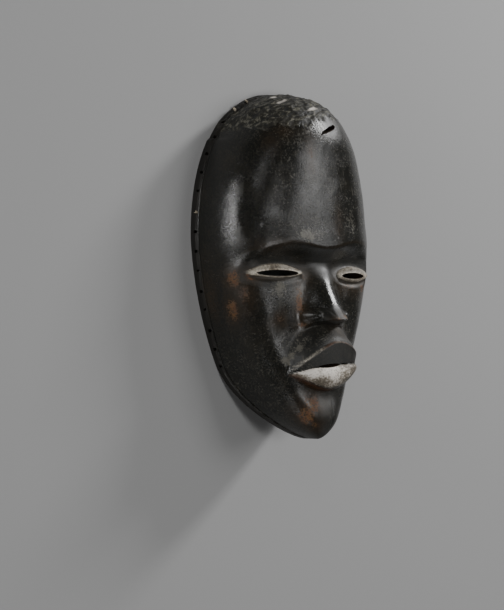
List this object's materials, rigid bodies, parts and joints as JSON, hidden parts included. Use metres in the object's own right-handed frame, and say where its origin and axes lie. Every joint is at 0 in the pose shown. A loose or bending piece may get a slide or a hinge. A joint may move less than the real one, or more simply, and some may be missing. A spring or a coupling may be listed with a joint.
{
  "type": "dan mask",
  "caption": "Carved dark wooden face mask with an overhanging brow, slit eyes, full lips and a hollow back, pierced with small holes around its rim.",
  "frame": {"origin": "centre of the mask's length and width, on the plane of its flat back rim", "axes": "+Z is the way the face looks, away from the wall or floor the rim rests on; +Y runs from the chin to the crown; +X is to the mask's own left, which is on the right for someone who looks at the face"},
  "size_m": [0.1422, 0.24, 0.0779],
  "materials": {
    "patinated_wood": "semi-gloss dark patina"
  },
  "bodies": {
    "root": {"mask": "patinated_wood"}
  },
  "joints": []
}
